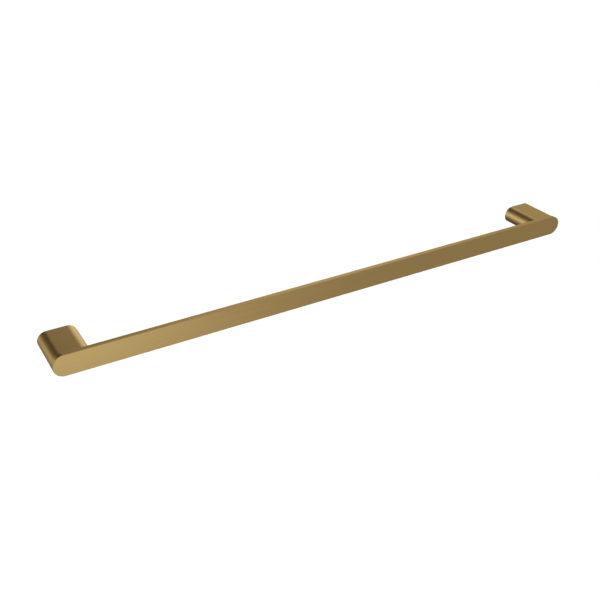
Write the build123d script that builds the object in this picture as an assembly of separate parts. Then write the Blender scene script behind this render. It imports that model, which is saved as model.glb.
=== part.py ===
from build123d import *
import os

# A flat towel bar on two hollow obround posts, fixed to the wall from inside the posts.
# The rail runs along X, the wall is the plane y = 0 and the room lies towards -Y.
# The origin is on the wall, midway between the posts and at half their height.

# Overall form, in millimetres
POST_SPACING = 600.0  # between the middles of the two posts
PROJECTION = 53.25  # from the wall to the front of the rail
RAIL_HEIGHT = 23.3
RAIL_THICKNESS = 5.5
EDGE_EASE = 0.4  # rounding of the rail's edges
POST_WIDTH = 40.5
POST_HEIGHT = 20.5  # a little less than the rail's, so that the rail stands proud above and below

# Posts, open towards the wall
POST_WALL = 3.0
POST_WEB = 5.0  # the front wall, which carries the rail
POST_RIM_CHAMFER = 0.3  # round the outside, at the wall
MOUTH_CHAMFER = 0.5  # leads the post on to its bracket

# Rail screws, two through each web into blind tapped holes
RAIL_SCREW_DIAMETER = 4.0
RAIL_SCREW_HEAD_DIAMETER = 7.0
RAIL_SCREW_HEAD_HEIGHT = 2.8
RAIL_SCREW_HEAD_CHAMFER = 0.4
RAIL_SCREW_TIP_CHAMFER = 0.5
RAIL_SCREW_KEY = 2.5  # across the flats of the hexagon socket
RAIL_SCREW_KEY_DEPTH = 2.0
RAIL_SCREW_PASSAGE = 0.25  # clearance all round the shank in the web
RAIL_SKIN = 1.7  # metal left between a tapped hole and the rail's front
RAIL_SCREW_TIP_ROOM = 0.8  # from the screw's tip to the bottom of its hole
THREAD_CLEARANCE = 0.05  # all round a plain shank in a tapped hole

# Wall brackets, which plug into the posts
BRACKET_DEPTH = 12.0
BRACKET_CLEARANCE = 0.3  # all round, inside the post
BRACKET_CHAMFER = 1.0
WALL_SLOT_WIDTH = 4.5
WALL_SLOT_LENGTH = 6.5
HEAD_POCKET_WIDTH = 8.5  # sinks the head of a wall screw
HEAD_POCKET_DEPTH = 4.0
GROOVE_DEPTH = 2.4  # of the 90 degree vee that takes the set screw's point

# Set screws, up through each post's underside, with a 90 degree cone point
SET_SCREW_DIAMETER = 5.0
SET_SCREW_FROM_WALL = 5.0
SET_SCREW_RECESS = 0.3  # inside the post's underside
SET_SCREW_CHAMFER = 0.4
SET_SCREW_TIP_DIAMETER = 0.6  # small flat at the end of the cone
SET_SCREW_KEY = 2.5  # across the flats of the hexagon socket
SET_SCREW_KEY_DEPTH = 2.0
POINT_GAP = 0.1  # between the cone and the vee, along the screw

# Sizes that follow
half_height = POST_HEIGHT / 2
flank_offset = (POST_WIDTH - POST_HEIGHT) / 2  # from a post's middle to the axis of each round side
rail_length = POST_SPACING + POST_WIDTH  # its ends are flush with the posts' outer sides
post_depth = PROJECTION - RAIL_THICKNESS
cavity_depth = post_depth - POST_WEB
cavity_width = POST_WIDTH - 2 * POST_WALL
cavity_height = POST_HEIGHT - 2 * POST_WALL
bracket_width = cavity_width - 2 * BRACKET_CLEARANCE
bracket_height = cavity_height - 2 * BRACKET_CLEARANCE
rail_hole_depth = RAIL_THICKNESS - RAIL_SKIN
rail_screw_length = POST_WEB + rail_hole_depth - RAIL_SCREW_TIP_ROOM

# The cone's own apex stops short of the bottom of the vee, and its tip is cut off below that.
cone_apex = -half_height + POST_WALL + BRACKET_CLEARANCE + GROOVE_DEPTH - POINT_GAP
set_screw_tip = cone_apex - SET_SCREW_TIP_DIAMETER / 2
set_screw_end = -half_height + SET_SCREW_RECESS


def out_from_wall(distance):
    """A plane parallel to the wall and facing the room: its own x and y are X and Z."""
    return Plane.XZ.offset(distance)


def hexagon(across_flats):
    return RegularPolygon(across_flats / 2, 6, major_radius=False)


def make_rail(screw_places):
    """A flat bar with full-round ends and eased edges, and blind tapped holes in its back."""
    rail = extrude(out_from_wall(post_depth) * SlotOverall(rail_length, RAIL_HEIGHT), RAIL_THICKNESS)
    front_and_back = rail.faces().filter_by(Axis.Y)
    rail = fillet(front_and_back.edges(), EDGE_EASE)

    tapped_hole = Circle(RAIL_SCREW_DIAMETER / 2 + THREAD_CLEARANCE)
    for x in screw_places:
        rail -= extrude(out_from_wall(post_depth) * Pos(x, 0) * tapped_hole, rail_hole_depth)
    return rail


def make_post():
    """A hollow obround post, open to the wall and closed by the web that carries the rail."""
    post = extrude(out_from_wall(0) * SlotOverall(POST_WIDTH, POST_HEIGHT), post_depth)
    wall_face = post.faces().sort_by(Axis.Y)[-1]
    post = chamfer(wall_face.edges(), POST_RIM_CHAMFER)

    post -= extrude(out_from_wall(0) * SlotOverall(cavity_width, cavity_height), cavity_depth)
    mouth = post.faces().sort_by(Axis.Y)[-1].inner_wires()[0]
    post = chamfer(mouth.edges(), MOUTH_CHAMFER)

    passage = Circle(RAIL_SCREW_DIAMETER / 2 + RAIL_SCREW_PASSAGE)
    for x in (-flank_offset, flank_offset):
        post -= extrude(out_from_wall(cavity_depth) * Pos(x, 0) * passage, POST_WEB)

    set_screw_hole = Pos(0, -SET_SCREW_FROM_WALL) * Circle(SET_SCREW_DIAMETER / 2 + THREAD_CLEARANCE)
    post -= extrude(Plane.XY.offset(-half_height) * set_screw_hole, POST_WALL)
    return post


def make_wall_bracket():
    """An obround block that plugs into a post, with two slots for wall screws.

    The vee runs along its top as well as its bottom, so that it fits either way up.
    """
    bracket = extrude(out_from_wall(0) * SlotOverall(bracket_width, bracket_height), BRACKET_DEPTH)
    nose = bracket.faces().sort_by(Axis.Y)[0]
    bracket = chamfer(nose.edges(), BRACKET_CHAMFER)

    pocket_length = HEAD_POCKET_WIDTH + WALL_SLOT_LENGTH - WALL_SLOT_WIDTH
    pocket_floor = BRACKET_DEPTH - HEAD_POCKET_DEPTH
    slot = SlotOverall(WALL_SLOT_LENGTH, WALL_SLOT_WIDTH)
    pocket = SlotOverall(pocket_length, HEAD_POCKET_WIDTH)
    for x in (-flank_offset, flank_offset):
        bracket -= extrude(out_from_wall(0) * Pos(x, 0) * slot, pocket_floor)
        bracket -= extrude(out_from_wall(pocket_floor) * Pos(x, 0) * pocket, HEAD_POCKET_DEPTH)

    # A square set on its corner cuts a 90 degree vee as deep as half its diagonal.
    vee_square = RegularPolygon(GROOVE_DEPTH, 4)
    for z in (-bracket_height / 2, bracket_height / 2):
        vee = Plane.YZ * Pos(-SET_SCREW_FROM_WALL, z) * vee_square
        bracket -= extrude(vee, bracket_width / 2, both=True)
    return bracket


def make_rail_screw():
    """A low-headed cap screw with a hexagon socket, its head against the inside of the web."""
    head = extrude(out_from_wall(0) * Circle(RAIL_SCREW_HEAD_DIAMETER / 2), -RAIL_SCREW_HEAD_HEIGHT)
    head_top = head.faces().sort_by(Axis.Y)[-1]
    head = chamfer(head_top.edges(), RAIL_SCREW_HEAD_CHAMFER)
    shank = extrude(out_from_wall(0) * Circle(RAIL_SCREW_DIAMETER / 2), rail_screw_length)
    tip = shank.faces().sort_by(Axis.Y)[0]
    shank = chamfer(tip.edges(), RAIL_SCREW_TIP_CHAMFER)
    socket = extrude(out_from_wall(-RAIL_SCREW_HEAD_HEIGHT) * hexagon(RAIL_SCREW_KEY), RAIL_SCREW_KEY_DEPTH)
    return Pos(0, -cavity_depth, 0) * (head + shank - socket)


def make_set_screw():
    """A grub screw with a hexagon socket below and a cone point above."""
    radius = SET_SCREW_DIAMETER / 2
    tip_radius = SET_SCREW_TIP_DIAMETER / 2
    cone_base = set_screw_tip - (radius - tip_radius)
    outline = Polyline(
        (0, set_screw_end),
        (radius - SET_SCREW_CHAMFER, set_screw_end),
        (radius, set_screw_end + SET_SCREW_CHAMFER),
        (radius, cone_base),
        (tip_radius, set_screw_tip),
        (0, set_screw_tip),
        close=True,
    )
    screw = revolve(Plane.XZ * make_face(outline), Axis.Z)
    screw -= extrude(Plane.XY.offset(set_screw_end) * hexagon(SET_SCREW_KEY), SET_SCREW_KEY_DEPTH)
    return Pos(0, -SET_SCREW_FROM_WALL, 0) * screw


# The assembly: two like posts, each with its bracket and screws, joined by the rail
post_places = {"left": -POST_SPACING / 2, "right": POST_SPACING / 2}
screw_places = {
    "left_outer": post_places["left"] - flank_offset,
    "left_inner": post_places["left"] + flank_offset,
    "right_inner": post_places["right"] - flank_offset,
    "right_outer": post_places["right"] + flank_offset,
}

nodes = {"rail": make_rail(screw_places.values())}
for side, x in post_places.items():
    nodes[f"{side}_post"] = Pos(x, 0, 0) * make_post()
    nodes[f"{side}_wall_bracket"] = Pos(x, 0, 0) * make_wall_bracket()
    nodes[f"{side}_set_screw"] = Pos(x, 0, 0) * make_set_screw()
for place, x in screw_places.items():
    nodes[f"{place}_rail_screw"] = Pos(x, 0, 0) * make_rail_screw()

os.makedirs("parts", exist_ok=True)
for name, shape in nodes.items():
    export_step(shape, f"parts/{name}.step")
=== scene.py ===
import math

import bmesh
import bpy
from mathutils import Matrix, Vector


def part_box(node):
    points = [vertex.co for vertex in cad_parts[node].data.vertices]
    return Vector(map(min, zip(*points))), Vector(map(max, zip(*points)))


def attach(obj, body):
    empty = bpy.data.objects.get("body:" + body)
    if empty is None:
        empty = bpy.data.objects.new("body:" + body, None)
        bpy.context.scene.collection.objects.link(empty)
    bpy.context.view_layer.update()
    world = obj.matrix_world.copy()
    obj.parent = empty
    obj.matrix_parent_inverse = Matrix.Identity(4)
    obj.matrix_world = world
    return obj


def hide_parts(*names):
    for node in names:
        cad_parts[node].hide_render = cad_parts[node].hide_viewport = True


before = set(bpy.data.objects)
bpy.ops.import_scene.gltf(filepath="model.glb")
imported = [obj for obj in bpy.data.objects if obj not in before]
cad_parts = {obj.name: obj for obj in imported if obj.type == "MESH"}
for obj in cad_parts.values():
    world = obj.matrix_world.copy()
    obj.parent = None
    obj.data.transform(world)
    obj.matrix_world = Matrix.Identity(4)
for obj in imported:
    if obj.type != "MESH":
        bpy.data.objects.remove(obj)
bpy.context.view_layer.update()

# Rail
# One flat bar of solid brass with full-round ends, brushed along its length and plated a satin
# gold. Its edges are eased by hand, and four blind holes in its back take the rail screws.


class Wire:
    """An output of a node. Sums with numbers or other wires add Math nodes to its tree."""

    def __init__(self, tree, socket=None):
        self.tree = tree
        self.socket = socket

    def __getitem__(self, output):
        """Another output of the same node."""
        return Wire(self.tree, self.socket.node.outputs[output])

    def add(self, kind, settings=None, inputs=None):
        """Adds a node, sets it up, fills its sockets and returns its first output."""
        node = self.tree.nodes.new(kind)
        for name, value in (settings or {}).items():
            setattr(node, name, value)
        for key, value in (inputs or {}).items():
            if isinstance(value, Wire):
                self.tree.links.new(value.socket, node.inputs[key])
            else:
                node.inputs[key].default_value = value
        return Wire(self.tree, next(iter(node.outputs), None))

    def math(self, operation, first, second=0.0):
        return self.add("ShaderNodeMath", {"operation": operation}, {0: first, 1: second})

    def __add__(self, other):
        return self.math("ADD", self, other)

    def __sub__(self, other):
        return self.math("SUBTRACT", self, other)

    def __rsub__(self, other):
        return self.math("SUBTRACT", other, self)

    def __mul__(self, other):
        return self.math("MULTIPLY", self, other)

    def __truediv__(self, other):
        return self.math("DIVIDE", self, other)

    def __rpow__(self, other):
        return self.math("POWER", other, self)

    def __gt__(self, other):
        return self.math("GREATER_THAN", self, other)

    def __abs__(self):
        return self.math("ABSOLUTE", self)

    __radd__ = __add__
    __rmul__ = __mul__

    def between(self, low, high):
        """A value from low to high, as this one goes from 0 to 1."""
        return low + (high - low) * self

    def blend(self, low, high):
        """A colour from low to high, as this value goes from 0 to 1."""
        return self.add("ShaderNodeMix", {"data_type": "RGBA"}, {0: self, 6: low, 7: high})[2]

    def relief(self, strength, depth):
        """The normal of a surface that this value raises, by depth in metres at 1."""
        return self.add("ShaderNodeBump", inputs={"Strength": strength, "Distance": depth, "Height": self})


def new_material(name):
    """A material with an empty tree, and the wire that its graph starts from."""
    material = bpy.data.materials.new(name)
    material.use_nodes = True
    material.node_tree.nodes.clear()
    return material, Wire(material.node_tree)


def coat_in_metal(graph, finish):
    """Ends a material's graph in one metal shader with these sockets."""
    metal = graph.add("ShaderNodeBsdfPrincipled", inputs={"Metallic": 1.0, **finish})
    graph.add("ShaderNodeOutputMaterial", inputs={"Surface": metal})


def satin_brass():
    """Brushed lines run along X on faces towards the room or the wall, and round the outline elsewhere."""
    lines_per_metre = 5000.0
    streaks_per_metre = 700.0
    breaks_per_metre = 12.0
    least_facing = 0.7  # share of Y in the normal of a face that looks towards the room or the wall
    pale = (0.345, 0.229, 0.093, 1.0)
    deep = (0.255, 0.169, 0.069, 1.0)
    edge_tint = (0.77, 0.70, 0.57, 1.0)

    material, graph = new_material("satin_brass")
    place = graph.add("ShaderNodeTexCoord")["Object"]
    split = graph.add("ShaderNodeSeparateXYZ", inputs={0: place})
    x, y, z = split["X"], split["Y"], split["Z"]
    normal = graph.add("ShaderNodeNewGeometry")["True Normal"]
    on_face = abs(graph.add("ShaderNodeSeparateXYZ", inputs={0: normal})["Y"]) > least_facing
    across = y + on_face * (z - y)
    along = (x + z) * breaks_per_metre

    def brushing(density, detail):
        place_on_lines = graph.add("ShaderNodeCombineXYZ", inputs={0: along, 1: across * density})
        return graph.add(
            "ShaderNodeTexNoise",
            {"noise_dimensions": "2D"},
            {"Vector": place_on_lines, "Scale": 1.0, "Detail": detail},
        )

    lines = brushing(lines_per_metre, detail=3.0)
    streaks = brushing(streaks_per_metre, detail=2.0)
    tone = (lines + streaks) / 2
    coat_in_metal(graph, {
        "Base Color": tone.blend(deep, pale),
        "Roughness": tone.between(0.12, 0.24),
        "Specular Tint": edge_tint,
        "Normal": lines.relief(strength=0.3, depth=0.00002),
    })
    return material


def apply_modifiers(piece):
    """Turns what a piece's modifiers make into its own mesh."""
    made = bpy.data.meshes.new_from_object(piece.evaluated_get(bpy.context.evaluated_depsgraph_get()))
    piece.modifiers.clear()
    piece.data = made


def plain_mesh(piece):
    """A piece's final mesh: its corners stay sharp, and large faces stay flat up to a small rounding."""
    sharpest_curve = math.radians(30)
    apply_modifiers(piece)
    piece.data.shade_smooth()
    piece.data.set_sharp_from_angle(angle=sharpest_curve)
    piece.modifiers.new("shading", "WEIGHTED_NORMAL").keep_sharp = True
    apply_modifiers(piece)


def new_piece(name, shape):
    """An object at the origin that holds the shape made in a bmesh."""
    mesh = bpy.data.meshes.new(name)
    bmesh.ops.recalc_face_normals(shape, faces=shape.faces)
    shape.to_mesh(mesh)
    shape.free()
    piece = bpy.data.objects.new(name, mesh)
    bpy.context.scene.collection.objects.link(piece)
    return piece


def box_centre(node):
    low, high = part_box(node)
    return (low + high) / 2


rail_screw_places = ("left_outer", "left_inner", "right_inner", "right_outer")
rail_screw_nodes = [f"{place}_rail_screw" for place in rail_screw_places]
rail_low, rail_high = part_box("rail")
rail_front, rail_back = rail_low.y, rail_high.y
rail_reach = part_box("right_post")[1].x  # its ends are flush with the posts' outer sides
end_radius = rail_high.z
end_axis = rail_reach - end_radius
end_steps = 72
edge_ease = 0.0004
ease_steps = 5
hole_radius = 0.00205
hole_depth = 0.0038
hole_steps = 48

outline = []
for side in (1, -1):
    for step in range(end_steps + 1):
        turn = math.pi * (step / end_steps - 0.5)
        x = end_axis + end_radius * math.cos(turn)
        z = end_radius * math.sin(turn)
        outline.append((side * x, side * z))

shape = bmesh.new()
eased = shape.edges.layers.float.new("bevel_weight_edge")
front = [shape.verts.new((x, rail_front, z)) for x, z in outline]
back = [shape.verts.new((x, rail_back, z)) for x, z in outline]
shape.faces.new(front)
shape.faces.new(reversed(back))
for i in range(len(outline)):
    j = (i + 1) % len(outline)
    shape.faces.new((front[i], back[i], back[j], front[j]))
    shape.edges.get((front[i], front[j]))[eased] = 1.0
    shape.edges.get((back[i], back[j]))[eased] = 1.0
rail = new_piece("towel_rail", shape)

# The middle of each cutter lies on the rail's back, so that half of it is in the metal.
cutters = bmesh.new()
for node in rail_screw_nodes:
    middle = Vector((box_centre(node).x, rail_back, 0))
    placed = Matrix.Translation(middle) @ Matrix.Rotation(math.pi / 2, 4, "X")
    bmesh.ops.create_cone(
        cutters, cap_ends=True, segments=hole_steps, radius1=hole_radius, radius2=hole_radius,
        depth=2 * hole_depth, matrix=placed,
    )
drill = new_piece("drill", cutters)

ease = rail.modifiers.new("eased edges", "BEVEL")
ease.limit_method = "WEIGHT"
ease.width = edge_ease
ease.segments = ease_steps
holes = rail.modifiers.new("blind holes", "BOOLEAN")
holes.object = drill
plain_mesh(rail)
bpy.data.objects.remove(drill)

brass = satin_brass()
rail.data.materials.append(brass)
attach(rail, "root")
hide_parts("rail")

# Posts
# Two hollow obround castings, flush with the rail's ends and a little lower than the rail. They
# are brushed round their outline and plated with the rail, so that the joint hardly shows.


def finish_solids(material, *nodes):
    """Gives a finish to solids that keep their own shape."""
    for node in nodes:
        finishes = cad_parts[node].data.materials
        finishes.clear()
        finishes.append(material)


finish_solids(brass, "left_post", "right_post")

# Rail screws
# Low-headed cap screws of stainless steel with a rolled thread, two in each post. Their heads
# bear on the inside of the post's front wall and pull the rail against it.


def speckle(graph, grains_per_metre, detail):
    """A fine noise, fixed to the piece."""
    place = graph.add("ShaderNodeTexCoord")["Object"]
    inputs = {"Vector": place, "Scale": grains_per_metre, "Detail": detail}
    return graph.add("ShaderNodeTexNoise", inputs=inputs)


def bright_steel():
    """Stainless steel with faint marks of its making and a slight stain."""
    pale = (0.47, 0.465, 0.46, 1.0)
    deep = (0.38, 0.375, 0.37, 1.0)
    material, graph = new_material("screw_steel")
    marks = speckle(graph, 2500.0, detail=2.0)
    stain = speckle(graph, 300.0, detail=3.0)
    coat_in_metal(graph, {
        "Base Color": stain.blend(deep, pale),
        "Roughness": marks.between(0.24, 0.38),
        "Normal": marks.relief(strength=0.08, depth=0.00002),
    })
    return material


screw_steps = 48
screw_turns = [2 * math.pi * step / screw_steps for step in range(screw_steps)]


def circle(radius, flute=0.0):
    """A ring of radii. With a flute, every other point lies that much further in."""
    return [radius - flute * (step % 2) for step in range(screw_steps)]


def hexagon(across_flats):
    """A ring of radii that makes the sides of a hexagon socket."""
    sixth = math.pi / 3
    return [across_flats / 2 / math.cos(turn % sixth - sixth / 2) for turn in screw_turns]


def thread(start, end, radius, pitch, fade):
    """Rings of a rolled thread between two heights. It gets its full depth over the length of the fade."""
    depth = 0.54 * pitch  # as in a metric thread
    flat = 0.1  # share of the pitch that is flat at the crest, and again at the root
    rings_per_pitch = 10
    count = math.ceil((end - start) / pitch * rings_per_pitch)
    rings = []
    for ring in range(count + 1):
        height = start + (end - start) * ring / count
        cut = depth * min(1.0, (height - start) / fade)
        radii = []
        for step in range(screw_steps):
            wave = abs(2 * ((height / pitch - step / screw_steps) % 1.0) - 1)
            flank = (wave - flat) / (1 - 2 * flat)
            radii.append(radius - cut * min(1.0, max(0.0, flank)))
        rings.append((height, radii))
    return rings


def narrowed(rings, end, tip_radius):
    """Cuts the last rings to a 45 degree point that ends at tip_radius."""
    return [(height, [min(r, tip_radius + end - height) for r in radii]) for height, radii in rings]


def stack_rings(name, rings, placed):
    """A closed screw from rings of radii at heights along Z, set in place by a matrix."""
    shape = bmesh.new()
    levels = []
    for height, radii in rings:
        points = [(r * math.cos(turn), r * math.sin(turn), height) for r, turn in zip(radii, screw_turns)]
        levels.append([shape.verts.new(placed @ Vector(point)) for point in points])
    for low, high in zip(levels, levels[1:]):
        for i in range(screw_steps):
            j = (i + 1) % screw_steps
            shape.faces.new((low[i], low[j], high[j], high[i]))
    shape.faces.new(levels[0])
    shape.faces.new(levels[-1])
    return new_piece(name, shape)


def copies_at_posts(name, screw, material, post_spacing, row_spacing=0.0, row_count=1):
    """Copies of one screw, in a row along X at each of the two posts."""
    choices = {
        "Screw": ("NodeSocketObject", screw),
        "Post Spacing": ("NodeSocketFloat", post_spacing),
        "Post Count": ("NodeSocketInt", 2),
        "Row Spacing": ("NodeSocketFloat", row_spacing),
        "Row Count": ("NodeSocketInt", row_count),
        "Material": ("NodeSocketMaterial", material),
    }
    tree = bpy.data.node_groups.new(name, "GeometryNodeTree")
    tree.interface.new_socket("Geometry", in_out="OUTPUT", socket_type="NodeSocketGeometry")
    keys = {}
    for label, (kind, value) in choices.items():
        keys[label] = tree.interface.new_socket(label, in_out="INPUT", socket_type=kind).identifier
    graph = Wire(tree)
    given = graph.add("NodeGroupInput")

    def line(count, spacing):
        start = graph.add("ShaderNodeCombineXYZ", inputs={0: spacing * (count - 1) / -2})
        offset = graph.add("ShaderNodeCombineXYZ", inputs={0: spacing})
        return graph.add(
            "GeometryNodeMeshLine", inputs={"Count": count, "Start Location": start, "Offset": offset}
        )

    posts = line(given["Post Count"], given["Post Spacing"])
    row = line(given["Row Count"], given["Row Spacing"])
    places = graph.add("GeometryNodeInstanceOnPoints", inputs={"Points": posts, "Instance": row})
    places = graph.add("GeometryNodeRealizeInstances", inputs={0: places})
    one = graph.add("GeometryNodeObjectInfo", inputs={"Object": given["Screw"]})["Geometry"]
    screws = graph.add("GeometryNodeInstanceOnPoints", inputs={"Points": places, "Instance": one})
    screws = graph.add("GeometryNodeRealizeInstances", inputs={0: screws})
    finish = {"Geometry": screws, "Material": given["Material"]}
    finished = graph.add("GeometryNodeSetMaterial", inputs=finish)
    graph.add("NodeGroupOutput", inputs={"Geometry": finished})

    piece = new_piece(name, bmesh.new())
    copier = piece.modifiers.new(name, "NODES")
    copier.node_group = tree
    for label, (kind, value) in choices.items():
        copier[keys[label]] = value
    plain_mesh(piece)
    bpy.data.objects.remove(screw)
    return piece


steel = bright_steel()
screw_low, screw_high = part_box("left_outer_rail_screw")
screw_length = screw_high.y - screw_low.y
head_radius = (screw_high.x - screw_low.x) / 2
head_height = 0.0028
head_chamfer = 0.0004
flute_depth = 0.00012
flute_end = head_chamfer / 2  # length over which the flutes run out
shank_radius = 0.002
key_width = 0.0025
key_depth = 0.002
rail_screw_rings = [
    (key_depth, hexagon(key_width)),
    (0.0, hexagon(key_width)),
    (0.0, circle(head_radius - head_chamfer)),
    (head_chamfer, circle(head_radius)),
    (head_chamfer + flute_end, circle(head_radius, flute_depth)),
    (head_height - flute_end, circle(head_radius, flute_depth)),
    (head_height, circle(head_radius - flute_end)),
]
shank = thread(head_height, screw_length, shank_radius, pitch=0.0007, fade=0.0014)
rail_screw_rings += narrowed(shank, screw_length, tip_radius=0.0015)
placed = Matrix.Translation((0, screw_high.y, 0)) @ Matrix.Rotation(math.pi / 2, 4, "X")
one_screw = stack_rings("one_rail_screw", rail_screw_rings, placed)
inner, outer = (box_centre(f"right_{place}_rail_screw").x for place in ("inner", "outer"))
rail_screws = copies_at_posts(
    "rail_screws", one_screw, steel, post_spacing=inner + outer, row_spacing=outer - inner, row_count=2
)
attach(rail_screws, "root")
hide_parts(*rail_screw_nodes)

# Wall brackets
# Obround blocks of zinc-plated steel that are screwed to the wall through two slots each. The
# hollow posts slip over them.


def zinc_plating():
    """A dull, clouded plating with fine pits."""
    pale = (0.59, 0.6, 0.6, 1.0)
    deep = (0.2, 0.21, 0.225, 1.0)
    material, graph = new_material("zinc_plating")
    cloud = speckle(graph, 160.0, detail=4.0)
    pits = speckle(graph, 2200.0, detail=2.0)
    coat_in_metal(graph, {
        "Base Color": cloud.blend(deep, pale),
        "Roughness": cloud.between(0.2, 0.7),
        "Normal": pits.relief(strength=0.35, depth=0.00006),
    })
    return material


finish_solids(zinc_plating(), "left_wall_bracket", "right_wall_bracket")

# Set screws
# Grub screws with a cone point, driven up through each post's underside with a hexagon key. The
# point draws the post on to the vee of its bracket and against the wall.
set_low, set_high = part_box("left_set_screw")
set_length = set_high.z - set_low.z
set_radius = (set_high.x - set_low.x) / 2
set_chamfer = 0.0004
set_tip_radius = 0.0003
set_key_width = 0.0025
set_key_depth = 0.002
set_screw_rings = [
    (set_key_depth, hexagon(set_key_width)),
    (0.0, hexagon(set_key_width)),
]
body = thread(0.0, set_length, set_radius, pitch=0.0008, fade=0.0002)
for height, radii in narrowed(body, set_length, set_tip_radius):
    chamfered = [min(r, set_radius - set_chamfer + height) for r in radii]
    set_screw_rings.append((height, chamfered))
placed = Matrix.Translation((0, box_centre("left_set_screw").y, set_low.z))
one_screw = stack_rings("one_set_screw", set_screw_rings, placed)
set_spacing = 2 * box_centre("right_set_screw").x
set_screws = copies_at_posts("set_screws", one_screw, steel, post_spacing=set_spacing)
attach(set_screws, "root")
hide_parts("left_set_screw", "right_set_screw")

# Studio
# The bar hangs at its usual height over a pale floor, in a white room with a wide soft lamp overhead.
# Soft panels and dark flags stand round it. They show in the metal, and the picture's background is
# plain white.
hanging_height = 1.2
floor_size = 400.0
near_white = (0.97, 0.97, 0.97, 1.0)

bpy.ops.mesh.primitive_plane_add(size=floor_size, location=(0, 0, -hanging_height))
floor = bpy.context.object
floor.name = "floor"
paint, graph = new_material("floor_paint")
matt = graph.add("ShaderNodeBsdfDiffuse", inputs={"Color": near_white})
graph.add("ShaderNodeOutputMaterial", inputs={"Surface": matt})
floor.data.materials.append(paint)
# In the metal the room goes on below the horizon, so that a panel or flag can stand there too.
floor.visible_glossy = False

world = bpy.data.worlds.new("studio")
bpy.context.scene.world = world
world.use_nodes = True
world.node_tree.nodes.clear()
graph = Wire(world.node_tree)
direction = graph.add("ShaderNodeTexCoord")["Generated"]


def panel(azimuth, elevation, half_width, level):
    """A soft panel, placed by degrees to the right of straight behind the bar and degrees up.

    Its light falls to half at half_width degrees from its middle.
    """
    across, up = math.radians(azimuth), math.radians(elevation)
    middle = (math.sin(across) * math.cos(up), math.cos(across) * math.cos(up), math.sin(up))
    facing = graph.add("ShaderNodeVectorMath", {"operation": "DOT_PRODUCT"}, {0: direction, 1: middle})
    return level * 2 ** ((facing["Value"] - 1.0) / (1.0 - math.cos(math.radians(half_width))))


overhead = panel(0, 90, 24, 1.2)
behind_right = panel(25, 5, 16, 1.4)
high_right = panel(35, 35, 6, 0.7)
behind_left = panel(-45, 5, 18, 1.5)
low_front = panel(170, -25, 10, 1.4)
lamps = overhead + behind_right + high_right + behind_left + low_front
middle_flag = panel(-30, 10, 16, 0.9)
high_flag = panel(-10, 45, 20, 0.8)
low_flag = panel(-5, -65, 32, 0.7)
flags = middle_flag + high_flag + low_flag
room_level = 0.84
darkest = 0.07
light = graph.math("MAXIMUM", room_level + lamps - flags, darkest)

# The shade is warm and the lamps are cool.
warm = (1.0, 0.93, 0.87, 1.0)
cool = (1.0, 1.085, 1.07, 1.0)
coolest_level = 2.0
tint = (light / coolest_level).blend(warm, cool)
lit = graph.add("ShaderNodeBackground", inputs={"Color": tint, "Strength": light})
white = graph.add("ShaderNodeBackground", inputs={"Color": (1.0, 1.0, 1.0, 1.0), "Strength": 1.0})
in_picture = graph.add("ShaderNodeLightPath")["Is Camera Ray"]
shown = graph.add("ShaderNodeMixShader", inputs={0: in_picture, 1: lit, 2: white})
graph.add("ShaderNodeOutputWorld", inputs={"Surface": shown})

# The camera stands in the room to the left of the bar and above it, and looks to the right and down.
look_right = math.radians(30)
look_down = math.radians(30)
camera = bpy.data.objects.new("camera", bpy.data.cameras.new("camera"))
bpy.context.scene.collection.objects.link(camera)
camera.data.sensor_width = 36.0
camera.data.lens = 51.113
camera.location = (-0.4478, -0.73492, 0.45218)
camera.rotation_euler = (math.pi / 2 - look_down, 0, -look_right)
bpy.context.scene.camera = camera
bpy.context.scene.view_settings.view_transform = "Standard"
